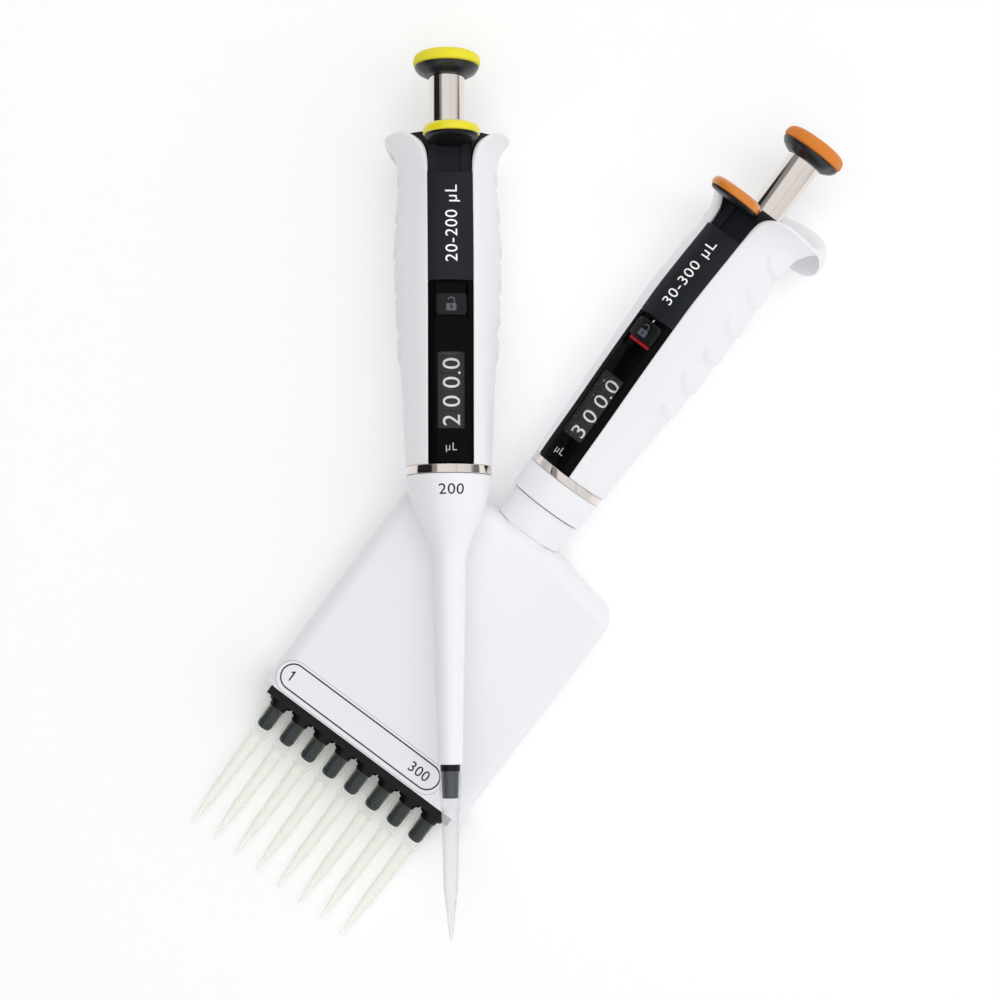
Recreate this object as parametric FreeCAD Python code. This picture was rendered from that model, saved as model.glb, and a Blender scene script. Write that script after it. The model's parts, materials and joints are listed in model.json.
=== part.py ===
"""A set of two mechanical pipettes lying crossed on a table: a single-channel one and an 8-channel one.

Units are millimetres, +Z is up. Each pipette is modelled along its own axis, with its display facing -Y,
its button towards +Z and z = 0 at the bottom of the metal ring that ends the handle. It is then laid down.
"""
import FreeCAD, Part
import math
import os

Vec = FreeCAD.Vector

# ---------------------------------------------------------------- driving dimensions: the shared handle
RING_R = 13.75            # metal ring, outside
RING_H = 2.8
LOWER_BORE_R = 12.45      # inside of the handle around the counter
UPPER_BORE_R = 13.6       # inside of the handle above the counter
BORE_STEP_Z = 52.0
# outer radius of the grip against height: a slim waist, a belly for the palm and a trumpet at the top
GRIP_PROFILE = [(13.8, 2.8), (14.25, 11.3), (14.75, 24.0), (15.55, 36.9), (16.2, 50.0), (16.65, 62.6),
                (16.85, 70.5), (16.35, 81.8), (15.7, 92.0), (15.6, 98.0), (16.3, 101.5), (17.6, 104.6),
                (19.3, 106.9), (20.2, 108.5)]
RIM_Z = 108.5
RIM_R = 20.2
STRIP_HALF = 7.35         # half width of the dark strip down the front
STRIP_TOP_Z = 96.0
PANEL_SPLIT_Z = 60.6      # gloss display panel below, matt name panel above
PANEL_THICK = 1.2
NAME_PANEL_THICK = 1.9
FIT = 0.1                 # gap between a panel and the edge it sits in

HOOK_REACH = 38.0         # finger hook, behind the axis
HOOK_HALF_WIDTH = 20.2

WINDOW_HALF = 4.3
WINDOW_Z = (13.8, 38.0)
LOCK_HALF = 5.25
LOCK_H = 8.2
LOCK_TRAVEL = 2.5
LOCK_OPENING_Z = (48.7, 59.8)
LOCK_PROUD = 0.5

WHEEL_R = 10.8
WHEEL_BORE_R = 6.2
WHEEL_W = 5.9
WHEEL_OFFSET = 1.6        # the counter stands in front of the pipette's axis, close to its window
WHEEL_Z = {"hundreds": 16.6, "tens": 22.6, "units": 28.6, "tenths": 34.6}

TUBE_R = 5.85             # bright plunger tube
TUBE_BOTTOM_Z = 88.0
FLANGE_Z = 129.8
CAP_Z = 133.4
CAP_TOP_Z = 138.2
CAP_R = 10.9
SHAFT_R = 2.4             # turning shaft inside the tube
SHAFT_BOTTOM_Z = 43.0
ROD_R = 2.2               # sliding rod below the shaft

PAD_Z = 105.5             # ejector button
PAD_THICK = 3.4
PAD_FRONT_R = 9.1
PAD_FRONT_Y = -21.4
PAD_REAR_R = 5.0
PAD_REAR_Y = -12.5
SLIDE_HALF = 6.9
SLIDE_Y = (-11.6, -9.4)
EJECT_ROD_HALF = 3.0
EJECT_ROD_Y = (10.0, 11.6)

# ---------------------------------------------------------------- driving dimensions: single channel
SLEEVE_PROFILE = [(13.75, -0.1), (13.35, -3.6), (12.35, -7.4), (11.25, -11.3), (9.6, -15.2), (7.85, -19.1),
                  (6.35, -23.0), (5.6, -26.2), (5.4, -31.0)]
SLEEVE_END = (3.95, -91.8)
SLEEVE_WALL = 1.3
SLEEVE_END_WALL = 0.6
SINGLE_TIP_LENGTH = 53.0
SINGLE_TIP_TOP = -94.0

# ---------------------------------------------------------------- driving dimensions: eight channels
CHANNELS = 8
PITCH = 9.0
COLLAR_R = 13.55
COLLAR_H = 10.0
NECK_TOP_R = 12.4
NECK_BOTTOM_R = 11.95
NECK_Z = (-10.2, -20.5)
BODY_HALF_WIDTH = 40.2
BODY_HALF_DEPTH = 12.0
BODY_TOP_Z = -20.6
BODY_SHOULDER_Z = -24.6
BODY_BOTTOM_Z = -111.2
BODY_EDGE_R = 5.0
BODY_WALL = 2.0
LABEL_LENGTH = 64.0
LABEL_HEIGHT = 9.8
LABEL_CENTRE = (-5.5, -104.8)
LABEL_PROUD = 0.3
BAR_LENGTH = 74.5
BAR_DEPTH = 17.0
MULTI_TIP_LENGTH = 49.5
MULTI_TIP_TOP = -119.0
PISTON_R = 2.71           # 300 microlitres over a 13 mm stroke
SINGLE_PISTON_R = 2.2     # 200 microlitres over a 13 mm stroke

# ---------------------------------------------------------------- how the two lie on the table
MULTI_AZIMUTH = -36.8     # about +Z, from +Y
MULTI_PITCH = 5.88        # button end up: the hook props it
MULTI_ROLL = -32.0        # the handle is swivelled against the lower part
MULTI_RING = (21.4, 6.4, 23.36)
SINGLE_AZIMUTH = 0.4
SINGLE_PITCH = -4.3       # tip end up: the sleeve lies across the lower part of the other pipette
SINGLE_ROLL = 5.0          # front turned a little to the right
SINGLE_RING = (-16.4, 7.9, 45.88)


# ---------------------------------------------------------------- small helpers
def box(x0, x1, y0, y1, z0, z1):
    return Part.makeBox(x1 - x0, y1 - y0, z1 - z0, Vec(x0, y0, z0))


def cylinder(radius, z0, z1, x=0.0, y=0.0):
    return Part.makeCylinder(radius, z1 - z0, Vec(x, y, z0))


def tube(outer, inner, z0, z1, x=0.0, y=0.0):
    return cylinder(outer, z0, z1, x, y).cut(cylinder(inner, z0 - 1, z1 + 1, x, y))


def turned(points):
    """A solid of revolution about Z from a closed outline of (radius, z) points."""
    wire = Part.makePolygon([Vec(r, 0, z) for r, z in points] + [Vec(points[0][0], 0, points[0][1])])
    return Part.Face(wire).revolve(Vec(0, 0, 0), Vec(0, 0, 1), 360)


def smooth(points):
    """An edge through (radius, z) points."""
    curve = Part.BSplineCurve()
    curve.interpolate([Vec(r, 0, z) for r, z in points])
    return curve.toShape()


def turned_smooth(points, inset=0.0):
    """A full solid of revolution whose outline is a smooth curve, moved inwards by inset."""
    moved = [(r - inset, z) for r, z in points]
    (r0, z0), (r1, z1) = moved[0], moved[-1]
    edges = [
        Part.LineSegment(Vec(0, 0, z0), Vec(r0, 0, z0)).toShape(),
        smooth(moved),
        Part.LineSegment(Vec(r1, 0, z1), Vec(0, 0, z1)).toShape(),
        Part.LineSegment(Vec(0, 0, z1), Vec(0, 0, z0)).toShape(),
    ]
    return Part.Face(Part.Wire(Part.__sortEdges__(edges))).revolve(Vec(0, 0, 0), Vec(0, 0, 1), 360)


def prism(points, z0, z1):
    """A straight prism from a closed (x, y) outline."""
    wire = Part.makePolygon([Vec(x, y, z0) for x, y in points] + [Vec(points[0][0], points[0][1], z0)])
    return Part.Face(wire).extrude(Vec(0, 0, z1 - z0))


def helix(radius, wire_r, z0, z1, turns, split=False):
    """A round-wire compression spring about Z. Split, each turn is a face of its own."""
    height = z1 - z0 - 2 * wire_r
    make = Part.makeLongHelix if split else Part.makeHelix
    path = make(height / turns, height, radius)
    path.translate(Vec(0, 0, z0 + wire_r))
    profile = Part.Wire(Part.makeCircle(wire_r, Vec(radius, 0, z0 + wire_r), Vec(0, 1, 0)))
    return Part.Wire(path.Edges).makePipeShell([profile], True, True)


# ---------------------------------------------------------------- handle
def grip(inset=0.0):
    return turned_smooth(GRIP_PROFILE, inset)


def teardrop(grow, z0, z1):
    """Outline of the ejector button: a round front that narrows towards the plunger tube."""
    front, rear = PAD_FRONT_R + grow, PAD_REAR_R + grow
    reach = PAD_REAR_Y - PAD_FRONT_Y
    lean = math.asin((front - rear) / reach)
    fx, fy = front * math.cos(lean), front * math.sin(lean)
    rx, ry = rear * math.cos(lean), rear * math.sin(lean)
    neck = prism([(-fx, PAD_FRONT_Y + fy), (fx, PAD_FRONT_Y + fy), (rx, PAD_REAR_Y + ry),
                  (-rx, PAD_REAR_Y + ry)], z0, z1)
    solid = cylinder(front, z0, z1, 0, PAD_FRONT_Y).fuse(cylinder(rear, z0, z1, 0, PAD_REAR_Y)).fuse(neck)
    return solid.removeSplitter()


def hook():
    """The finger hook behind the rim: a curled slab trimmed to an oval seen from above."""
    top = [(13.7, 107.6), (18.0, 109.2), (24.0, 113.2), (29.0, 115.8), (33.4, 115.2), (36.6, 111.8),
           (38.0, 107.2), (37.8, 103.6)]
    nose = [(37.8, 103.6), (36.6, 101.6), (35.2, 103.4)]
    under = [(35.2, 103.4), (34.9, 107.4), (33.0, 110.8), (29.6, 112.2), (25.4, 110.6), (21.4, 106.8),
             (18.4, 102.0), (16.9, 97.0), (16.6, 93.0)]

    def edge(points):
        curve = Part.BSplineCurve()
        curve.interpolate([Vec(0, y, z) for y, z in points])
        return curve.toShape()

    start = Vec(0, top[0][0], top[0][1])
    end = Vec(0, under[-1][0], under[-1][1])
    foot = Vec(0, top[0][0], under[-1][1])
    edges = [edge(top), edge(nose), edge(under), Part.LineSegment(end, foot).toShape(),
             Part.LineSegment(foot, start).toShape()]
    face = Part.Face(Part.Wire(edges))
    face.translate(Vec(-HOOK_HALF_WIDTH, 0, 0))
    slab = face.extrude(Vec(2 * HOOK_HALF_WIDTH, 0, 0))
    oval = Part.Ellipse(Vec(0, HOOK_REACH, 80), Vec(HOOK_HALF_WIDTH, 0, 80), Vec(0, 0, 80)).toShape()
    from_above = Part.Face(Part.Wire(oval)).extrude(Vec(0, 0, 50))
    half = [(HOOK_HALF_WIDTH, 120), (HOOK_HALF_WIDTH, 107.5), (17.0, 104.2), (12.5, 101.0), (8.0, 96.5),
            (4.0, 92.0)]
    outline = half + [(-x, z) for x, z in reversed(half)]
    wire = Part.makePolygon([Vec(x, 0, z) for x, z in outline + outline[:1]])
    from_behind = Part.Face(wire).extrude(Vec(0, HOOK_REACH + 1, 0))
    return slab.common(from_above).common(from_behind)


def strip_opening():
    """What is cut from the front of the shell: a straight strip that flares below the ejector button."""
    straight = box(-STRIP_HALF, STRIP_HALF, -30, -9, 0, STRIP_TOP_Z)
    flare = [(STRIP_HALF, STRIP_TOP_Z), (7.85, 98.0), (8.3, 101.5), (9.1, 105.0), (10.8, RIM_Z + 1)]
    outline = flare + [(-x, z) for x, z in reversed(flare)]
    wire = Part.makePolygon([Vec(x, -30, z) for x, z in outline + outline[:1]])
    return straight.fuse(Part.Face(wire).extrude(Vec(0, 21, 0)))


BEZEL_PROFILE = [(13.5, 102.0), (15.2, 104.5), (17.8, 107.3), (17.8, 108.2)]


def handle_shell():
    shell = grip().fuse(hook()).removeSplitter()
    cavity = cylinder(LOWER_BORE_R, 0, BORE_STEP_Z).fuse(cylinder(UPPER_BORE_R, BORE_STEP_Z, 102.5))
    throat = turned([(0, 102.0)] + BEZEL_PROFILE + [(17.8, 110.0), (0, 110.0)])
    return shell.cut(cavity.fuse(throat)).cut(strip_opening())


def top_bezel():
    bezel = turned([(6.1, 102.0)] + BEZEL_PROFILE + [(6.1, 108.2)])
    slot = box(-SLIDE_HALF - FIT, SLIDE_HALF + FIT, -20, SLIDE_Y[1] + FIT, 100, 120)
    return bezel.cut(teardrop(0.3, 90, 120)).cut(slot)


def front_panel(z0, z1, thick, half=STRIP_HALF - FIT, proud=0.0):
    """A curved plate that follows the front of the grip."""
    return grip(-proud).common(box(-half, half, -40, 0, z0, z1)).cut(grip(thick))


def display_panel():
    panel = front_panel(3.2, PANEL_SPLIT_Z - 0.1, PANEL_THICK)
    panel = panel.cut(box(-WINDOW_HALF, WINDOW_HALF, -40, 0, *WINDOW_Z))
    pocket = grip(-1).cut(grip(0.9))
    opening = box(-LOCK_HALF - FIT, LOCK_HALF + FIT, -40, 0, *LOCK_OPENING_Z)
    return panel.cut(pocket.common(opening))


def display_window():
    return front_panel(WINDOW_Z[0] + 0.05, WINDOW_Z[1] - 0.05, PANEL_THICK, WINDOW_HALF - 0.05)


def lock_button(raised):
    bottom = LOCK_OPENING_Z[0] + FIT + (LOCK_TRAVEL if raised else 0)
    return front_panel(bottom, bottom + LOCK_H, 0.75, LOCK_HALF, LOCK_PROUD)


def counter_wheel(z):
    return tube(WHEEL_R, WHEEL_BORE_R, z - WHEEL_W / 2, z + WHEEL_W / 2, 0, -WHEEL_OFFSET)


def rod_notch(z0, z1, depth=EJECT_ROD_Y[1] + 0.4):
    return box(-EJECT_ROD_HALF - 0.3, EJECT_ROD_HALF + 0.3, EJECT_ROD_Y[0] - 0.3, depth, z0, z1)


def counter_frame():
    """The fixed spindle of the counter, with a plate at each end that fills the shell."""
    spindle = cylinder(6.1, 12, 40, 0, -WHEEL_OFFSET)
    frame = spindle
    strip = box(-STRIP_HALF, STRIP_HALF, -20, -11.2, 0, 60)
    for z0, z1 in ((11.0, 13.2), (38.4, 41.0)):
        plate = cylinder(LOWER_BORE_R, z0, z1).cut(strip).cut(rod_notch(z0 - 1, z1 + 1))
        frame = frame.fuse(plate)
    return frame.cut(cylinder(2.7, 0, 60)).removeSplitter()


def metal_ring():
    return tube(RING_R, LOWER_BORE_R, 0, RING_H)


def button_cap():
    outline = [(0, CAP_Z), (10.6, CAP_Z), (CAP_R, CAP_Z + 0.8), (CAP_R, CAP_Z + 2.2), (10.3, CAP_Z + 3.5),
               (8.4, CAP_Z + 4.4), (5.0, CAP_TOP_Z), (0, CAP_TOP_Z)]
    return turned(outline)


def button_flange():
    """The dark mushroom under the cap, with a socket for the plunger tube."""
    return turned([(TUBE_R + 0.02, FLANGE_Z), (6.9, FLANGE_Z), (8.6, FLANGE_Z + 0.7), (10.1, FLANGE_Z + 2.1),
                   (10.5, CAP_Z), (SHAFT_R, CAP_Z), (SHAFT_R, 132.0), (TUBE_R + 0.02, 132.0)])


def plunger_tube():
    return tube(TUBE_R, 4.9, TUBE_BOTTOM_Z, 132.0)


def drive_shaft():
    """The shaft that the button turns, with the head that carries it in the tube."""
    shaft = cylinder(SHAFT_R, SHAFT_BOTTOM_Z, CAP_Z)
    return shaft.fuse(cylinder(4.9, TUBE_BOTTOM_Z, TUBE_BOTTOM_Z + 3))


def plunger_rod(bottom):
    return cylinder(ROD_R, bottom, SHAFT_BOTTOM_Z - 0.05)


def primary_spring():
    return helix(5.2, 0.45, 41.0, TUBE_BOTTOM_Z, 11)


def blowout_spring():
    return helix(4.2, 0.6, RING_H, 11.0, 4, True)


def eject_button():
    pad = teardrop(0, PAD_Z, PAD_Z + PAD_THICK)
    rims = [e for e in pad.Edges if abs(e.BoundBox.ZMin - PAD_Z - PAD_THICK) < 0.01
            and e.BoundBox.ZLength < 0.01]
    return pad.makeFillet(1.3, rims)


def eject_slide(bottom):
    """The slider under the ejector button, its collar round the shaft and its rod down the back."""
    slider = box(-SLIDE_HALF, SLIDE_HALF, SLIDE_Y[0], SLIDE_Y[1], 62, PAD_Z)
    groove = box(-3.65, 3.65, SLIDE_Y[0] - 1, SLIDE_Y[0] + 1, 60, PAD_Z + 1)
    collar = tube(12.6, 7.2, 62, 66).cut(box(-20, 20, -20, SLIDE_Y[0], 60, 70))
    rod = box(-EJECT_ROD_HALF, EJECT_ROD_HALF, EJECT_ROD_Y[0], EJECT_ROD_Y[1], bottom, 64)
    return slider.cut(groove).fuse(collar).fuse(rod).removeSplitter()


def handle(prefix, lock_raised, rod_bottom, eject_bottom):
    nodes = {
        "handle_shell": handle_shell(),
        "top_bezel": top_bezel(),
        "name_panel": front_panel(PANEL_SPLIT_Z, STRIP_TOP_Z - 0.3, NAME_PANEL_THICK),
        "display_panel": display_panel(),
        "display_window": display_window(),
        "lock_button": lock_button(lock_raised),
        "counter_frame": counter_frame(),
        "metal_ring": metal_ring(),
        "button_cap": button_cap(),
        "button_flange": button_flange(),
        "plunger_tube": plunger_tube(),
        "drive_shaft": drive_shaft(),
        "plunger_rod": plunger_rod(rod_bottom),
        "primary_spring": primary_spring(),
        "blowout_spring": blowout_spring(),
        "eject_button": eject_button(),
        "eject_slide": eject_slide(eject_bottom),
    }
    for name, z in WHEEL_Z.items():
        nodes[f"wheel_{name}"] = counter_wheel(z)
    return {f"{prefix}_{name}": shape for name, shape in nodes.items()}


# ---------------------------------------------------------------- disposable tip
def tip(top, length):
    """A thin-walled disposable tip: a collar, a slow taper and a fine point."""
    collar = top - 11.6
    shoulder = top - length * 0.70
    bottom = top - length
    outside = [(3.6, top), (3.6, collar + 0.6), (3.0, collar), (2.85, collar - 0.8), (2.25, shoulder),
               (0.42, bottom)]
    inside = [(0.22, bottom), (1.7, shoulder), (2.3, collar), (2.64, top - 8.7), (3.02, top)]
    return turned(outside + inside)


# ---------------------------------------------------------------- single channel, below the handle
def ejector_sleeve():
    """The bell-shaped sleeve that pushes the tip off, with an inner shelf for the ejector rod."""
    (end_r, end_z) = SLEEVE_END
    outer = turned_smooth(SLEEVE_PROFILE)
    last_r, last_z = SLEEVE_PROFILE[-1]
    outer = outer.fuse(turned([(0, last_z), (last_r, last_z), (end_r, end_z), (0, end_z)]))
    inner = turned_smooth(SLEEVE_PROFILE, SLEEVE_WALL)
    bore = turned([(0, last_z), (last_r - SLEEVE_WALL, last_z), (end_r - SLEEVE_END_WALL, end_z), (0, end_z)])
    sleeve = outer.cut(inner.fuse(bore))
    shelf = tube(12.4, 9.8, -4.2, -2.8).common(inner)
    return sleeve.fuse(shelf).removeSplitter()


def single_tip_cone():
    """The inner housing of the piston: flange in the ring, long barrel and the cone that holds the tip."""
    outline = [(3.0, RING_H), (12.4, RING_H), (12.4, 0.0), (9.4, 0.0), (9.4, -3.0), (7.4, -12.0),
               (5.0, -20.0), (4.0, -26.0), (3.9, -32.0), (3.2, -88.0), (3.1, -93.5), (2.95, -94.2),
               (2.6, -102.5), (1.0, -102.5), (1.0, -87.0), (2.3, -86.0), (2.3, -30.0), (3.0, -28.0)]
    return turned(outline).cut(rod_notch(-4, 4))


def single_nodes():
    nodes = handle("single", False, -20.0, -2.8)
    nodes["single_ejector_sleeve"] = ejector_sleeve()
    nodes["single_tip_cone"] = single_tip_cone()
    nodes["single_piston"] = cylinder(SINGLE_PISTON_R, -69.0, -20.0)
    nodes["single_piston_seal"] = tube(2.98, 2.22, -28.0, -26.4)
    nodes["single_tip"] = tip(SINGLE_TIP_TOP, SINGLE_TIP_LENGTH)
    return nodes


# ---------------------------------------------------------------- eight channels, below the handle
def channel_places():
    return [PITCH * (i - (CHANNELS - 1) / 2) for i in range(CHANNELS)]


def body_block(inset):
    """The flat lower housing as a solid: a rounded plate with gently sloping shoulders."""
    half = BODY_HALF_WIDTH - inset
    depth = BODY_HALF_DEPTH - inset
    top, shoulder, bottom = BODY_TOP_Z - inset, BODY_SHOULDER_Z - inset, BODY_BOTTOM_Z
    corner = BODY_EDGE_R - inset
    points = [(-half, bottom), (half, bottom), (half, shoulder), (13.0, top), (-13.0, top), (-half, shoulder)]
    wire = Part.makePolygon([Vec(x, -depth, z) for x, z in points + points[:1]])
    block = Part.Face(wire).extrude(Vec(0, 2 * depth, 0))

    def at_side(edge):
        middle = edge.BoundBox.Center
        upright = edge.BoundBox.YLength < 0.01 and abs(abs(middle.y) - depth) < 0.01
        corner_edge = abs(abs(middle.x) - half) < 0.01 and edge.BoundBox.YLength > depth
        return (upright and middle.z > bottom + 1) or (corner_edge and middle.z > bottom + 1)

    return block.makeFillet(corner, [e for e in block.Edges if at_side(e)])


def manifold_shell(side):
    """Half of the lower housing. side is -1 for the front, +1 for the back."""
    shell = body_block(0).cut(body_block(BODY_WALL))
    half = box(-60, 60, 0, 30, -130, 0) if side > 0 else box(-60, 60, -30, 0, -130, 0)
    return shell.common(half).cut(cylinder(11.0, -60, 0))


def label_strip():
    """A raised stadium-shaped writing strip on the front."""
    x, z = LABEL_CENTRE
    r = LABEL_HEIGHT / 2
    straight = LABEL_LENGTH / 2 - r
    strip = box(x - straight, x + straight, -BODY_HALF_DEPTH - LABEL_PROUD, -BODY_HALF_DEPTH, z - r, z + r)
    for end in (x - straight, x + straight):
        strip = strip.fuse(Part.makeCylinder(r, LABEL_PROUD, Vec(end, -BODY_HALF_DEPTH, z), Vec(0, -1, 0)))
    return strip.removeSplitter()


def neck_collar():
    outer = turned([(9.0, NECK_Z[0]), (NECK_TOP_R, NECK_Z[0]), (NECK_BOTTOM_R, NECK_Z[1]), (9.0, NECK_Z[1])])
    spigot = tube(10.9, 9.0, NECK_Z[1] - 3.5, NECK_Z[1])
    recess = cylinder(11.7, -11.2, -9)
    return outer.fuse(spigot).cut(recess).removeSplitter()


def swivel_collar():
    """The collar that closes the handle and turns on the neck."""
    collar = tube(COLLAR_R, 12.4, -COLLAR_H, -1.2)
    plate = tube(COLLAR_R, 3.0, -1.2, -0.05).fuse(tube(12.4, 3.0, -0.05, RING_H))
    return collar.fuse(plate).cut(rod_notch(-15, 4)).removeSplitter()


def ejector_bar():
    """The black bar that strips the tips, with a scalloped arch round each cone."""
    half = BAR_LENGTH / 2
    bar = box(-half, half, -BAR_DEPTH / 2, BAR_DEPTH / 2, -114.9, BODY_BOTTOM_Z - 0.1)
    for x in channel_places():
        bar = bar.fuse(cylinder(4.3, -117.2, -114.9, x))
    for x in channel_places():
        bar = bar.cut(cylinder(3.3, -120, -100, x))
    return bar.removeSplitter()


def eject_frame():
    """The frame that carries the ejector's push from the neck to the bar."""
    frame = tube(11.5, 7.7, -2.9, -1.4).fuse(tube(8.7, 7.7, -30, -2.9))
    frame = frame.fuse(box(-37.0, 37.0, -4.2, 7.5, -33, -30)).cut(cylinder(7.7, -29.9, 0))
    for x in (-36, 36):
        frame = frame.fuse(cylinder(1.2, BODY_BOTTOM_Z - 0.1, -33, x, 6))
    return frame.cut(cylinder(3.0, -40, -10)).removeSplitter()


def cylinder_plate():
    """The plate that holds the eight cylinders, pierced for the rods."""
    plate = body_block(BODY_WALL).common(box(-60, 60, -20, 20, -109, -104))
    for x in channel_places():
        plate = plate.cut(cylinder(3.6, -120, -90, x))
    for x in (-36, 36):
        plate = plate.cut(cylinder(1.3, -120, -90, x, 6)).cut(cylinder(1.5, -120, -90, x, -6))
    return plate


def multi_cone(x):
    outline = [(2.8, -66.0), (3.6, -66.0), (3.6, -109.0), (3.1, -109.2), (3.1, -117.6), (2.95, -119.2),
               (2.6, -127.6), (1.0, -127.6), (1.0, -104.0), (2.8, -103.0)]
    cone = turned(outline)
    cone.translate(Vec(x, 0, 0))
    return cone


def piston_bar():
    bar = box(-37.5, 37.5, -8.5, 3.6, -50, -46)
    for x in (-36, 36):
        bar = bar.cut(cylinder(1.55, -60, -40, x, -6))
    return bar


def multi_nodes():
    lower = {
        "multi_neck_collar": neck_collar(),
        "multi_manifold_front": manifold_shell(-1),
        "multi_manifold_back": manifold_shell(1),
        "multi_label_strip": label_strip(),
        "multi_ejector_bar": ejector_bar(),
        "multi_eject_frame": eject_frame(),
        "multi_cylinder_plate": cylinder_plate(),
        "multi_tip_cones": Part.makeCompound([multi_cone(x) for x in channel_places()]),
        "multi_pistons": Part.makeCompound([cylinder(PISTON_R, -86, -50, x) for x in channel_places()]),
        "multi_piston_bar": piston_bar(),
        "multi_guide_rods": Part.makeCompound([cylinder(1.5, -109, -36, x, -6) for x in (-36, 36)]),
    }
    tips = []
    for x in channel_places():
        one = tip(MULTI_TIP_TOP, MULTI_TIP_LENGTH)
        one.translate(Vec(x, 0, 0))
        tips.append(one)
    lower["multi_tips"] = Part.makeCompound(tips)
    upper = handle("multi", True, -45.95, -1.35)
    upper["multi_swivel_collar"] = swivel_collar()
    return lower, upper


# ---------------------------------------------------------------- laying the pipettes on the table
def lying(azimuth, pitch, ring, roll=0.0):
    """The placement of a pipette whose ring centre is at ring, face up, its button towards +Y at azimuth 0."""
    turn = FreeCAD.Rotation(Vec(0, 0, 1), azimuth)
    turn = turn * FreeCAD.Rotation(Vec(1, 0, 0), pitch)
    turn = turn * FreeCAD.Rotation(Vec(1, 0, 0), -90)
    turn = turn * FreeCAD.Rotation(Vec(0, 0, 1), roll)
    return FreeCAD.Placement(Vec(*ring), turn)


def placements():
    return {
        "multi_lower": lying(MULTI_AZIMUTH, MULTI_PITCH, MULTI_RING),
        "multi_upper": lying(MULTI_AZIMUTH, MULTI_PITCH, MULTI_RING, MULTI_ROLL),
        "single": lying(SINGLE_AZIMUTH, SINGLE_PITCH, SINGLE_RING, SINGLE_ROLL),
    }


def assembly():
    """Every node, placed, before the origin is moved to the middle of the base."""
    lower, upper = multi_nodes()
    groups = {"multi_lower": lower, "multi_upper": upper, "single": single_nodes()}
    placed = {}
    for group, nodes in groups.items():
        for name, shape in nodes.items():
            shape.Placement = placements()[group].multiply(shape.Placement)
            placed[name] = shape
    return placed


def base_centre(nodes):
    whole = FreeCAD.BoundBox()
    for shape in nodes.values():
        whole.add(shape.optimalBoundingBox(False, False))
    return Vec((whole.XMin + whole.XMax) / 2, (whole.YMin + whole.YMax) / 2, whole.ZMin)


def main():
    os.makedirs("parts", exist_ok=True)
    nodes = assembly()
    shift = base_centre(nodes).negative()
    for name, shape in nodes.items():
        shape.translate(shift)
        shape.exportStep(os.path.join("parts", f"{name}.step"))
    print(len(nodes), "nodes, origin moved by", [round(v, 4) for v in shift])


if __name__ == "__main__":
    main()
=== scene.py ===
"""Looks of a set of two pipettes, a single-channel one and an 8-channel one, that lie crossed on a table.

Every piece is made in its pipette's own frame, in millimetres: z runs up the axis towards the button from
the bottom of the metal ring, and the display faces -y. A matrix worked out from the joints lays it down.
"""
import json
import math

import bmesh
import bpy
from mathutils import Matrix, Vector
from mathutils.geometry import delaunay_2d_cdt


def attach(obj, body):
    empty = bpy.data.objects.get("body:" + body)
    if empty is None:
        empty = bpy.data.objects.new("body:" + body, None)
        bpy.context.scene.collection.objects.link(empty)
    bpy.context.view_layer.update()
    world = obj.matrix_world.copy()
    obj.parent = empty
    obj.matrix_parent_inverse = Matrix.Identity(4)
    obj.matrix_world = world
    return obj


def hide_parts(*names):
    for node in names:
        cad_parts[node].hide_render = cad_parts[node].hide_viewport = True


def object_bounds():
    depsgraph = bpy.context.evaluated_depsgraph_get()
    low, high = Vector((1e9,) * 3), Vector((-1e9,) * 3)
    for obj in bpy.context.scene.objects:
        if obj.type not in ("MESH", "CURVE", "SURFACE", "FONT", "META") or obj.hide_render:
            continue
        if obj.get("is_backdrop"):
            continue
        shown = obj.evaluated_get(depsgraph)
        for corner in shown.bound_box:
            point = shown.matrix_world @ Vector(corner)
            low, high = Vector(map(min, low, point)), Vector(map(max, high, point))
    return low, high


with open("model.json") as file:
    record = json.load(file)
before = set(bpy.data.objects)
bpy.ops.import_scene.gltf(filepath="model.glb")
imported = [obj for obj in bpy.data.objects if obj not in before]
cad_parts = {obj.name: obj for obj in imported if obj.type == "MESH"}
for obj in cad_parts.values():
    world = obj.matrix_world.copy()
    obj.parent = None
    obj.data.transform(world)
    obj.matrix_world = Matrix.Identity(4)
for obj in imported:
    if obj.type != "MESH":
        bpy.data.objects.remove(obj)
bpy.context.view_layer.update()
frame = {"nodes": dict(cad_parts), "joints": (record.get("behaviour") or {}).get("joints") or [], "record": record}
JOINTS = {j["name"]: j for j in frame["joints"]}
MM = 0.001

# ------------------------------ driving dimensions, in millimetres
CAP_Z = 133.4
RING_R = 13.75
RING_H = 2.8
GRIP = [(13.8, 2.8), (14.25, 11.3), (14.75, 24.0), (15.55, 36.9), (16.2, 50.0), (16.65, 62.6),
        (16.85, 70.5), (16.35, 81.8), (15.7, 92.0), (15.6, 98.0), (16.3, 101.5), (17.6, 104.6),
        (19.3, 106.9), (20.2, 108.5)]
RIM_R = 20.2
HOOK_REACH = 38.0
FORK_Z = 92.0             # above this the back of the grip sweeps out into the finger hook
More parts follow.
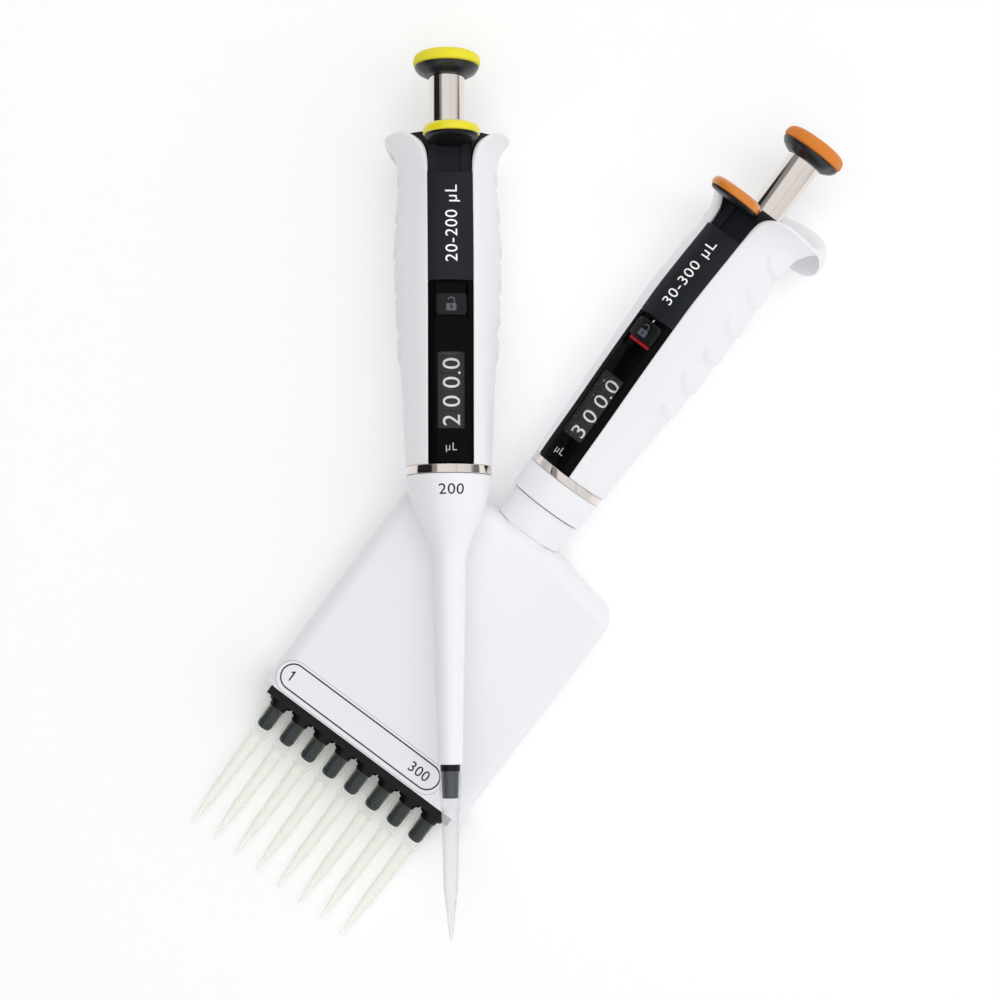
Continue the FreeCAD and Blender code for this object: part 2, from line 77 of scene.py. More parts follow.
# outline of the rim from FORK_Z up, over the lip and down to the bezel, and the same points on the hook
RIM_LINE = [(15.7, 92.0), (15.58, 95.0), (15.65, 98.3), (16.3, 101.5), (17.3, 104.1), (18.4, 106.0),
            (19.3, 107.2), (19.9, 107.9), (20.15, 108.3), (20.2, 108.6), (20.05, 108.95), (19.7, 109.15),
            (19.3, 109.2), (18.8, 109.1), (18.3, 108.85), (17.95, 108.55), (17.8, 108.2)]
HOOK_LINE = [(15.7, 92.0), (16.6, 95.6), (17.9, 100.6), (20.3, 105.4), (23.9, 109.6), (27.6, 111.9),
             (31.0, 112.0), (33.6, 110.0), (34.9, 106.6), (35.6, 103.0), (36.7, 101.7), (37.8, 103.2),
             (38.0, 107.0), (36.6, 111.8), (32.4, 115.7), (25.5, 114.2), (17.8, 108.2)]
BORE_LINE = [(17.75, 107.3), (15.2, 104.5), (13.6, 102.0), (13.6, 80.0), (13.6, 52.0), (12.5, 51.9),
             (12.5, 30.0), (12.5, 2.8)]
# half width of the opening down the front of the shell, against height
OPENING = [(7.35, 0.0), (7.35, 93.0), (7.4, 96.0), (7.6, 99.0), (8.0, 101.5), (8.7, 103.6), (9.9, 105.4),
           (11.6, 106.8), (13.6, 107.9), (15.2, 108.7), (16.2, 109.3)]
SCALES_Z = (98.6, 86.9, 75.2, 63.8, 52.3, 40.7)      # finger scales down each side of the grip
STRIP_HALF = 7.25
PANEL_SPLIT = 60.6
WINDOW_HALF = 4.3
WINDOW_Z = (13.8, 38.0)
LOCK_HALF = 5.0
LOCK_Z = (49.5, 56.4)
LOCK_TRAVEL = 2.5
LOCK_PROUD = 0.5
CAPACITY_Z = 78.8         # middle of the printed volume range
UNIT_Z = 8.2              # middle of the unit, between the ring and the window
WHEEL_R = 10.8
WHEEL_OFFSET = 1.6
WHEEL_Z = {"hundreds": 16.6, "tens": 22.6, "units": 28.6, "tenths": 34.6}
SWIVEL = 32.0             # degrees from the upper part of the 8-channel pipette to its lower part

BODY_HALF = 40.2
BODY_DEPTH = 12.0
BODY_TOP = -20.6
BODY_SHOULDER = -24.6
BODY_BOTTOM = -111.2
LABEL = (-5.5, -104.6)    # middle of the writing strip
LABEL_SIZE = (64.0, 9.3)
PLINTH_SHIFT = -0.4       # the strip's low plinth stands a little nearer to the tips
PITCH = 9.0
NUMBER_Z = -5.0           # middle of the number on the sleeve
NUMBER_R = 13.0           # radius that the number bends round
SINGLE_TIP = (-94.0, 53.0, 2.85)       # top, length and waist
MULTI_TIP = (-119.0, 49.5, 2.45)
FROST = 11.4              # a tip is milky from this far under its top


# ------------------------------ frames
def pipette_frame(prefix, turn=0.0):
    """The matrix from a pipette's own millimetres to the scene's metres."""
    dial = JOINTS[prefix + "_volume_dial"]
    up = Vector(dial["axis"]).normalized()
    origin = Vector(dial["pos_m"]) - up * CAP_Z * MM
    wheel = Vector(JOINTS[prefix + "_wheel_tenths_turn"]["pos_m"]) - origin
    back = -(wheel - up * wheel.dot(up)).normalized()
    right = back.cross(up)
    m = Matrix.Identity(4)
    for i, axis in enumerate((right, back, up)):
        for row in range(3):
            m[row][i] = axis[row] * MM
    m.translation = origin
    return m @ Matrix.Rotation(math.radians(turn), 4, "Z")


# ------------------------------ curves
def curve(points, cuts):
    """A smooth line through points, with cuts pieces between each two."""
    n = len(points)
    dim = len(points[0])
    t = [0.0]
    for a, b in zip(points, points[1:]):
        t.append(t[-1] + math.dist(a, b))
    slope = []
    for i in range(n):
        a, b = max(i - 1, 0), min(i + 1, n - 1)
        slope.append([(points[b][k] - points[a][k]) / (t[b] - t[a]) for k in range(dim)])
    out = []
    for i in range(n - 1):
        h = t[i + 1] - t[i]
        for c in range(cuts):
            u = c / cuts
            w = (2 * u**3 - 3 * u**2 + 1, u**3 - 2 * u**2 + u, 3 * u**2 - 2 * u**3, u**3 - u**2)
            out.append(tuple(w[0] * points[i][k] + w[1] * h * slope[i][k] + w[2] * points[i + 1][k]
                             + w[3] * h * slope[i + 1][k] for k in range(dim)))
    out.append(tuple(points[-1]))
    return out


def split_up(points, step):
    """The same corners with more points on the straight runs between them."""
    out = []
    for a, b in zip(points, points[1:]):
        n = max(1, round(math.dist(a, b) / step))
        out += [tuple(p + (q - p) * i / n for p, q in zip(a, b)) for i in range(n)]
    return out + [points[-1]]


def lookup(table, z):
    """The first value of a fine table of (value, z) rows at height z."""
    if z <= table[0][1]:
        return table[0][0]
    for (v0, z0), (v1, z1) in zip(table, table[1:]):
        if z <= z1:
            return v0 + (v1 - v0) * (z - z0) / (z1 - z0)
    return table[-1][0]


GRIP_FINE = curve(GRIP, 10)
OPENING_FINE = curve(OPENING, 6)


def grip_r(z):
    return lookup(GRIP_FINE, z)


def eased(points, radius, steps=4):
    """An open outline with its corners rounded. A point may carry its own radius as a third value."""
    out = [tuple(points[0][:2])]
    for a, p, b in zip(points, points[1:], points[2:]):
        r = p[2] if len(p) > 2 else radius
        pa, pb = Vector(a[:2]) - Vector(p[:2]), Vector(b[:2]) - Vector(p[:2])
        d = min(r, 0.48 * pa.length, 0.48 * pb.length)
        s, e, m = Vector(p[:2]) + pa.normalized() * d, Vector(p[:2]) + pb.normalized() * d, Vector(p[:2])
        for i in range(steps + 1):
            u = i / steps
            q = s * (1 - u) ** 2 + m * 2 * u * (1 - u) + e * u**2
            out.append((q.x, q.y))
    out.append(tuple(points[-1][:2]))
    return out


# ------------------------------ meshes
def piece(name, verts, faces, place, body, slot, paint, stands_for=(), crease=38, below=None):
    """One piece of the object: welded, shaded, coloured, and riding on its body. below is a height and the
    look of the faces under it."""
    mesh = bpy.data.meshes.new(name)
    mesh.from_pydata([tuple(v) for v in verts], [], faces)
    work = bmesh.new()
    work.from_mesh(mesh)
    bmesh.ops.remove_doubles(work, verts=work.verts, dist=1e-4)
    bmesh.ops.dissolve_degenerate(work, edges=work.edges, dist=1e-5)
    bmesh.ops.recalc_face_normals(work, faces=work.faces)
    for f in work.faces:
        f.smooth = True
        f.material_index = int(below is not None and f.calc_center_median().z < below[0])
    work.to_mesh(mesh)
    work.free()
    mesh.transform(place)
    mesh.set_sharp_from_angle(angle=math.radians(crease))
    mesh.materials.append(paint)
    if below:
        mesh.materials.append(below[1])
    obj = bpy.data.objects.new(name, mesh)
    bpy.context.scene.collection.objects.link(obj)
    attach(obj, body)
    if stands_for:
        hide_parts(*stands_for)
    return obj


def adder(prefix, place):
    """The function that makes one pipette's pieces, with its name before theirs."""
    def add(name, part, rides, slot, paint=None, stands_for=(), **more):
        return piece(f"{prefix}_{name}", *part, place, rides, slot, look(paint or slot),
                     [f"{prefix}_{n}" for n in stands_for], **more)
    return add


def merged(*parts):
    """Several meshes as one."""
    verts, faces = [], []
    for v, f in parts:
        base = len(verts)
        verts += list(v)
        faces += [tuple(i + base for i in face) for face in f]
    return verts, faces


def moved(part, x=0.0, y=0.0, z=0.0):
    return [(a + x, b + y, c + z) for a, b, c in part[0]], part[1]


def turned(profile, steps=96, wave=None):
    """A closed outline of (radius, z) points turned about z. wave(angle, z) is added to the radius."""
    verts = []
    for i in range(steps):
        a = 2 * math.pi * i / steps
        for r, z in profile:
            q = r + (wave(a, z) if wave else 0.0)
            verts.append((q * math.sin(a), -q * math.cos(a), z))
    n = len(profile)
    faces = []
    for i in range(steps):
        j = (i + 1) % steps
        for k in range(n):
            m = (k + 1) % n
            faces.append((i * n + k, j * n + k, j * n + m, i * n + m))
    return verts, faces


def fluted(height, count, power, low, high):
    """A wave for turned(): count ribs round it between two heights, or flutes if height is negative."""
    return lambda a, z: height * max(0.0, math.cos(count * a)) ** power if low < z < high else 0.0


def stacked(rings, capped=True):
    """Rings of the same number of points joined one to the next, with a face over each end."""
    n = len(rings[0])
    verts = [p for ring in rings for p in ring]
    faces = []
    for s in range(len(rings) - 1):
        for i in range(n):
            j = (i + 1) % n
            faces.append((s * n + i, s * n + j, (s + 1) * n + j, (s + 1) * n + i))
    if capped:
        faces.append(tuple(reversed(range(n))))
        faces.append(tuple((len(rings) - 1) * n + i for i in range(n)))
    return verts, faces


def rounded_ring(hx, hz, r, step=1.2, corner=7):
    """Points round a rectangle with rounded corners, counter-clockwise. Their count depends on its size."""
    out = []
    nx, nz = max(1, int(2 * (hx - r) / step)), max(1, int(2 * (hz - r) / step))
    for sx, sz, a0, n in ((1, -1, -90, nz), (1, 1, 0, nx), (-1, 1, 90, nz), (-1, -1, 180, nx)):
        cx, cz = sx * (hx - r), sz * (hz - r)
        for i in range(corner + 1):
            a = math.radians(a0 + 90 * i / corner)
            out.append((cx + r * math.cos(a), cz + r * math.sin(a)))
        nxt = {(1, -1): (1, 1), (1, 1): (-1, 1), (-1, 1): (-1, -1), (-1, -1): (1, -1)}[(sx, sz)]
        ax, az = out[-1]
        a1 = math.radians(a0 + 90)
        bx, bz = nxt[0] * (hx - r) + r * math.cos(a1), nxt[1] * (hz - r) + r * math.sin(a1)
        for i in range(1, n):
            out.append((ax + (bx - ax) * i / n, az + (bz - az) * i / n))
    return out


def pillow(hx, hz, r, heights, surface, centre=(0.0, 0.0), step=1.2):
    """A plate with rounded corners on a surface. heights holds (inset, height) from the underside to the top
    edge, and the top then closes towards the middle. surface(x, z, height) gives the point."""
    outer = rounded_ring(hx, hz, r, step)
    rings = []

    def ring(inset, height, scale=1.0):
        fx, fz = (hx - inset) / hx * scale, (hz - inset) / hz * scale
        rings.append([surface(centre[0] + x * fx, centre[1] + z * fz, height) for x, z in outer])

    low = heights[0]
    for scale in (0.02, 0.35, 0.7):
        ring(low[0], low[1], scale)
    for inset, height in heights:
        ring(inset, height)
    top = heights[-1]
    for scale in (0.92, 0.8, 0.64, 0.46, 0.26, 0.02):
        ring(top[0], top[1], scale)
    return stacked(rings)


def soft_edge(thick, radius=0.3, steps=4, low=0.0):
    """The heights of a plate with a rounded top edge."""
    out = [(0.0, low)]
    for i in range(steps + 1):
        a = math.pi / 2 * i / steps
        out.append((radius * (1 - math.cos(a)), thick - radius * (1 - math.sin(a))))
    return out


def on_grip(x, z, height):
    """A point on the front of the grip, raised by height."""
    r = grip_r(z) + height
    return (x, -math.sqrt(max(r * r - x * x, 0.0)), z)


def grid_lines(a, b, step, edge, extra=()):
    """Places from a to b about step apart, closer together by the ends and by each extra place."""
    out = {round(v, 4) for v in (a, b)}
    n = max(2, int((b - a) / step))
    out |= {round(a + (b - a) * i / n, 4) for i in range(1, n)}
    for place in (a, b, *extra):
        for d in (0.0, 0.15, 0.35, 0.65, 1.0):
            for s in (-1, 1):
                v = round(place + s * d * edge, 4)
                if a <= v <= b:
                    out.add(v)
    lines = sorted(out)
    return [v for i, v in enumerate(lines) if i == 0 or v - lines[i - 1] > 0.02]


def grip_plate(half, z0, z1, thick, edge, proud=0.0, hole=None, pocket=None):
    """A plate that follows the grip, with a rounded edge, and if asked a hole (half, z0, z1) through it and
    a pocket (half, z0, z1, depth) in it."""
    ex = [v for c in (hole, pocket) if c for v in (-c[0], c[0])]
    ez = [v for c in (hole, pocket) if c for v in (c[1], c[2])]
    xs, zs = grid_lines(-half, half, 1.0, edge, ex), grid_lines(z0, z1, 1.5, edge, ez)

    def lift(x, z):
        d = min(half - abs(x), z - z0, z1 - z)
        if hole:
            out = max(abs(x) - hole[0], hole[1] - z, z - hole[2])
            d = min(d, abs(out))
        drop = edge - math.sqrt(max(edge**2 - (edge - d) ** 2, 0.0)) if d < edge else 0.0
        if pocket:
            inside = min(pocket[0] - abs(x), z - pocket[1], pocket[2] - z)
            drop += pocket[3] * min(1.0, max(0.0, inside / 0.12))
        return proud - drop

    nx, nz = len(xs), len(zs)
    verts = [on_grip(x, z, lift(x, z)) for z in zs for x in xs]
    verts += [on_grip(x, z, -thick) for z in zs for x in xs]
    low = nx * nz

    def kept(i, j):
        if not (0 <= i < nx - 1 and 0 <= j < nz - 1):
            return False
        x, z = (xs[i] + xs[i + 1]) / 2, (zs[j] + zs[j + 1]) / 2
        return not (hole and abs(x) < hole[0] and hole[1] < z < hole[2])

    faces = []
    for j in range(nz - 1):
        for i in range(nx - 1):
            if not kept(i, j):
                continue
            a, b, c, d = j * nx + i, j * nx + i + 1, (j + 1) * nx + i + 1, (j + 1) * nx + i
            faces += [(a, b, c, d), (d + low, c + low, b + low, a + low)]
            sides = ((a, b, (i, j - 1)), (b, c, (i + 1, j)), (c, d, (i, j + 1)), (d, a, (i - 1, j)))
            for p, q, near in sides:
                if not kept(*near):
                    faces.append((q, p, p + low, q + low))
    return verts, faces


# ------------------------------ lettering
CAPITAL = 0.729                 # height of a capital letter in a text of size 1


def glyphs(text, height, thick=0.12, spacing=1.0, narrow=1.0, weight=0.0):
    """Flat lettering as vertices (along, up, out) round its middle, cut fine enough to bend."""
    data = bpy.data.curves.new("text", "FONT")
    data.body = text
    data.size = height / CAPITAL
    data.space_character = spacing
    data.offset = weight
    data.resolution_u = 5
    obj = bpy.data.objects.new("text", data)
    bpy.context.scene.collection.objects.link(obj)
    bpy.context.view_layer.update()
    mesh = bpy.data.meshes.new_from_object(obj.evaluated_get(bpy.context.evaluated_depsgraph_get()))
    work = bmesh.new()
    work.from_mesh(mesh)
    bmesh.ops.remove_doubles(work, verts=work.verts, dist=1e-4)
    for _ in range(3):
        bmesh.ops.triangulate(work, faces=work.faces)
        long = [e for e in work.edges if e.calc_length() > 0.9]
        if not long:
            break
        bmesh.ops.subdivide_edges(work, edges=long, cuts=1)
    bmesh.ops.triangulate(work, faces=work.faces)
    made = bmesh.ops.extrude_face_region(work, geom=work.faces[:])
    top = [v for v in made["geom"] if isinstance(v, bmesh.types.BMVert)]
    for v in top:
        v.co.z += thick
    work.verts.index_update()
    xs = [v.co.x for v in work.verts]
    mid_x = (min(xs) + max(xs)) / 2
    verts = [((v.co.x - mid_x) * narrow, v.co.y - height / 2, v.co.z) for v in work.verts]
    faces = [tuple(v.index for v in f.verts) for f in work.faces]
    work.free()
    bpy.data.objects.remove(obj)
    bpy.data.curves.remove(data)
    bpy.data.meshes.remove(mesh)
    return verts, faces


def mapped(part, rule):
    return [rule(*v) for v in part[0]], part[1]


# ------------------------------ materials
def linear(r, g, b):
    """Blender's colour for 0..255 values as the eye sees them."""
    def straight(c):
        return c / 255 / 12.92 if c <= 10 else ((c / 255 + 0.055) / 1.055) ** 2.4
    return straight(r), straight(g), straight(b), 1.0


EDGE_RANGE = (0.12, 0.62)       # how far a wall turns away between its face's clearness and its edge's


def finish_of(name, colour, rough, spread=0.03, grain=5.0, bump=0.0006, metal=0.0, coat=0.0, alpha=1.0,
              fine=0.35, glow=0.0, specular=0.5, edge_alpha=None):
    """A material with slow colour variation, a moulded or machined grain and slightly uneven gloss. colour
    is in 0..255 values as the eye sees them, grain in waves per millimetre and bump in centimetres."""
    colour = linear(*colour)
    look = bpy.data.materials.new(name)
    look.use_nodes = True
    tree = look.node_tree
    tree.nodes.clear()
    link = tree.links.new

    def node(kind, **values):
        n = tree.nodes.new(kind)
        for key, value in values.items():
            if key in n.inputs.keys():
                n.inputs[key].default_value = value
            else:
                setattr(n, key, value)
        return n

    out = node("ShaderNodeOutputMaterial")
    bsdf = node("ShaderNodeBsdfPrincipled")
    bsdf.inputs["Metallic"].default_value = metal
    bsdf.inputs["Coat Weight"].default_value = coat
    bsdf.inputs["Coat Roughness"].default_value = 0.04
    bsdf.inputs["Alpha"].default_value = alpha
    bsdf.inputs["Specular IOR Level"].default_value = specular
    link(bsdf.outputs[0], out.inputs[0])
    where = node("ShaderNodeTexCoord")
    slow = node("ShaderNodeTexNoise", Scale=0.09 / MM, Detail=3.0)
    quick = node("ShaderNodeTexNoise", Scale=grain / MM, Detail=2.0)
    link(where.outputs["Object"], slow.inputs["Vector"])
    link(where.outputs["Object"], quick.inputs["Vector"])
    tint = node("ShaderNodeMix", data_type="RGBA")
    tint.inputs["A"].default_value = tuple(c * (1 - spread) for c in colour[:3]) + (1,)
    tint.inputs["B"].default_value = tuple(min(1, c * (1 + spread)) for c in colour[:3]) + (1,)
    both = node("ShaderNodeMix")
    both.inputs[0].default_value = fine
    link(slow.outputs["Fac"], both.inputs[2])
    link(quick.outputs["Fac"], both.inputs[3])
    link(both.outputs[0], tint.inputs["Factor"])
    link(tint.outputs["Result"], bsdf.inputs["Base Color"])
    gloss = node("ShaderNodeMapRange")
    gloss.inputs["To Min"].default_value = rough * 0.85
    gloss.inputs["To Max"].default_value = min(1, rough * 1.15)
    link(slow.outputs["Fac"], gloss.inputs["Value"])
    link(gloss.outputs["Result"], bsdf.inputs["Roughness"])
    relief = node("ShaderNodeBump")
    relief.inputs["Strength"].default_value = 0.6
    relief.inputs["Distance"].default_value = bump * MM * 10
    link(quick.outputs["Fac"], relief.inputs["Height"])
    link(relief.outputs["Normal"], bsdf.inputs["Normal"])
    if edge_alpha is not None:
        facing = node("ShaderNodeLayerWeight", Blend=0.14)
        rim = node("ShaderNodeMapRange")
        rim.inputs["From Min"].default_value, rim.inputs["From Max"].default_value = EDGE_RANGE
        rim.inputs["To Min"].default_value, rim.inputs["To Max"].default_value = alpha, edge_alpha
        link(facing.outputs["Facing"], rim.inputs["Value"])
        link(rim.outputs["Result"], bsdf.inputs["Alpha"])
        # painted shade: the colour darkens to a quarter of itself where the wall turns away from the view, for the
        # grey edges of the clear tips
        shade = node("ShaderNodeMix", data_type="RGBA")
        link(tint.outputs["Result"], shade.inputs["A"])
        shade.inputs["B"].default_value = tuple(c * 0.25 for c in colour[:3]) + (1,)
        link(facing.outputs["Facing"], shade.inputs["Factor"])
        link(shade.outputs["Result"], bsdf.inputs["Base Color"])
    if glow:
        link(tint.outputs["Result"], bsdf.inputs["Emission Color"])
        bsdf.inputs["Emission Strength"].default_value = glow
    return look


LOOKS = {
    "white_plastic": dict(colour=(244, 244, 247), rough=0.36, spread=0.012, grain=6.0, bump=0.0006),
    "dark_plastic": dict(colour=(29, 32, 37), rough=0.5, spread=0.16, grain=7.0, bump=0.0022, specular=0.2),
    "black_gloss": dict(colour=(7, 7, 8), rough=0.1, spread=0.1, grain=2.0, bump=0.00008, specular=0.06),
    "smoked_window": dict(colour=(110, 112, 116), rough=0.06, spread=0.03, grain=2.0, bump=0.00005,
                          alpha=0.1, specular=0.2),
    "lock_plastic": dict(colour=(17, 18, 21), rough=0.28, spread=0.1, grain=6.0, bump=0.0006,
                         specular=0.25),
    "chrome": dict(colour=(228, 221, 216), rough=0.09, spread=0.03, grain=1.2, bump=0.00005, metal=1.0),
    "steel": dict(colour=(190, 188, 185), rough=0.22, spread=0.05, grain=3.0, bump=0.0005, metal=1.0),
    "black_plastic": dict(colour=(14, 14, 16), rough=0.4, spread=0.15, grain=6.0, bump=0.0012,
                          specular=0.25),
    "slate_plastic": dict(colour=(40, 47, 54), rough=0.25, spread=0.1, grain=5.0, bump=0.0008),
    "cone_plastic": dict(colour=(36, 42, 48), rough=0.22, spread=0.1, grain=5.0, bump=0.0008, specular=0.3),
    "inner_plastic": dict(colour=(198, 200, 202), rough=0.45, spread=0.04, grain=5.0, bump=0.0008),
    "wheel_plastic": dict(colour=(28, 28, 31), rough=0.45, spread=0.08, grain=6.0, bump=0.0006,
                          specular=0.2),
    "label_plastic": dict(colour=(243, 243, 247), rough=0.5, spread=0.012, grain=8.0, bump=0.001),
    # painted shadow: the light grey of the shadow line round the writing strip's plinth
    "groove_shade": dict(colour=(196, 197, 204), rough=0.6, spread=0.02, specular=0.2),
    "flange_plastic": dict(colour=(30, 32, 36), rough=0.32, spread=0.1, grain=6.0, bump=0.0008),
    "seal_rubber": dict(colour=(16, 16, 17), rough=0.7, spread=0.1, grain=5.0, bump=0.002, specular=0.25),
    "yellow_cap": dict(colour=(242, 230, 44), rough=0.62, spread=0.1, grain=3.4, bump=0.008, fine=0.75),
    "yellow_gloss": dict(colour=(240, 226, 30), rough=0.2, spread=0.03, grain=5.0, bump=0.0005, coat=0.3),
    "orange_cap": dict(colour=(224, 130, 42), rough=0.62, spread=0.12, grain=3.4, bump=0.008, fine=0.75),
    "orange_gloss": dict(colour=(222, 130, 36), rough=0.2, spread=0.04, grain=5.0, bump=0.0005, coat=0.3),
    # painted light: glow makes the four tip looks brighter though the tips give no light
    "tip_clear": dict(colour=(232, 234, 237), rough=0.3, spread=0.02, grain=1.0, bump=0.0001,
                      alpha=0.035, edge_alpha=0.8, specular=0.1, glow=0.08),
    "tip_frosted": dict(colour=(234, 236, 239), rough=0.35, spread=0.02, grain=1.0, bump=0.0001,
                        alpha=0.2, edge_alpha=0.95, specular=0.1, glow=0.06),
    "tip_tinted": dict(colour=(244, 248, 226), rough=0.3, spread=0.02, grain=1.0, bump=0.0001,
                       alpha=0.012, edge_alpha=0.8, specular=0.06, glow=0.2),
    "tip_milky": dict(colour=(243, 246, 236), rough=0.35, spread=0.02, grain=1.0, bump=0.0001,
                      alpha=0.24, edge_alpha=0.95, specular=0.1, glow=0.16),
    # painted light: glow makes the white print brighter though it gives no light
    "print_white": dict(colour=(250, 250, 250), rough=0.5, spread=0.01, glow=0.12),
    "print_grey": dict(colour=(190, 192, 196), rough=0.5, spread=0.02),
    "print_slate": dict(colour=(84, 88, 97), rough=0.5, spread=0.03),
    "print_black": dict(colour=(20, 20, 22), rough=0.55, spread=0.05, specular=0.25),
    "print_red": dict(colour=(176, 18, 34), rough=0.4, spread=0.04, specular=0.3),
}
_made = {}


def look(name):
    if name not in _made:
        _made[name] = finish_of(name, **LOOKS[name])
    return _made[name]


# ------------------------------ the handle, shared by both
def scale_relief(angle, r, z):
    """Height of the finger scales on the sides of the grip. angle is from the front."""
    best = 0.0
    for centre in SCALES_Z:
        size = 0.8 if centre < 45 else 1.0
        along = (abs(angle) - math.radians(97)) * r / (8.6 * size)
        up = (z - centre) / (4.9 * size)
        inside = 1 - along * along - up * up
        if inside > 0:
            edge = min(1.0, inside / 0.2)
            best = max(best, 0.62 * edge * edge * (3 - 2 * edge) * (1 - 0.3 * up))
    return best


def handle_shell():
    """The white grip as one surface: up the outside, over the lip and the finger hook, and down the bore."""
    lower = [(13.35, 2.8), (13.6, 2.85), (13.78, 3.0)]
    climb = [3.3 + (FORK_Z - 3.3) * i / 84 for i in range(84)]
    lower += [(grip_r(z), z) for z in climb]
    rim, hook, bore = curve(RIM_LINE, 4), curve(HOOK_LINE, 4), split_up(BORE_LINE, 1.3)
    front = lower + rim + bore
    behind = lower + hook + bore
    outer = len(lower) + len(rim) - 14       # the rows outside, to just over the top of the lip
    edge_steps = (0.0, 0.04, 0.13, 0.28, 0.48, 0.73, 1.0)
    columns = 150
    verts = []
    for s, ((r, z), (rb, zb)) in enumerate(zip(front, behind)):
        start = math.asin(min(0.95, lookup(OPENING_FINE, z) / r))
        soft = 0.45 + 1.25 * min(1.0, max(0.0, (z - 94) / 12))
        angles = [(start + f * soft / r, f) for f in edge_steps]
        first = angles[-1][0]
        inner = [(first + (2 * math.pi - 2 * first) * i / columns, 1.0) for i in range(1, columns)]
        angles += inner + [(2 * math.pi - a, f) for a, f in reversed(angles)]
        for a, f in angles:
            k = 0.0
            if math.cos(a) < 0:
                reach = 1 / math.sqrt((math.sin(a) / RIM_R) ** 2 + (math.cos(a) / HOOK_REACH) ** 2)
                k = (reach - RIM_R) / (HOOK_REACH - RIM_R)
            q, h = r + (rb - r) * k, z + (zb - z) * k
            if s < outer:
                q -= soft * (1 - math.sqrt(1 - (1 - f) ** 2))
                around = a if a < math.pi else 2 * math.pi - a
                fade = 1.0 - min(1.0, max(0.0, (z - 98) / 5))
                q += scale_relief(around, r, z) * fade
            verts.append((q * math.sin(a), -q * math.cos(a), h))
    n = len(verts) // len(front)
    faces = []
    rows = len(front)
    for s in range(rows):
        t = (s + 1) % rows
        for i in range(n - 1):
            faces.append((s * n + i, s * n + i + 1, t * n + i + 1, t * n + i))
    for i in (0, n - 1):
        edge = [verts[s * n + i] for s in range(rows)]
        flat = [Vector((math.hypot(x, y), z)) for x, y, z in edge]
        cut = delaunay_2d_cdt(flat, [], [list(range(rows))], 1, 1e-6)
        near = [min(range(rows), key=lambda s: (flat[s] - at).length) for at in cut[0]]
        whole = [face for face in cut[2] if len({near[k] for k in face}) == 3]
        faces += [tuple(near[k] * n + i for k in face) for face in whole]
    return verts, faces


def teardrop(grow, count=28):
    """Outline of the ejector button: a round front that narrows towards the plunger tube."""
    front, rear, front_y, rear_y = 9.1 + grow, 5.0 + grow, -21.4, -12.5
    lean = math.asin((front - rear) / (rear_y - front_y))
    out = []
    for i in range(count + 1):
        a = -math.pi + (math.pi + 2 * lean) * i / count - lean
        out.append((front * math.cos(a), front_y + front * math.sin(a)))
    for i in range(count + 1):
        a = lean + (math.pi - 2 * lean) * i / count
        out.append((rear * math.cos(a), rear_y + rear * math.sin(a)))
    return out


def eject_pad():
    """Glossy pad with a full round edge and a shallow thumb dish, over a darker foot."""
    rings = []
    levels = [(-2.0, 105.7), (-0.6, 105.72), (-0.15, 106.0), (0.0, 106.6), (-0.02, 107.3), (-0.25, 107.95),
              (-0.75, 108.5), (-1.45, 108.82), (-2.3, 108.88), (-3.4, 108.72), (-4.4, 108.55)]
    for grow, z in levels:
        rings.append([(x, y, z) for x, y in teardrop(grow)])
    return stacked(rings)


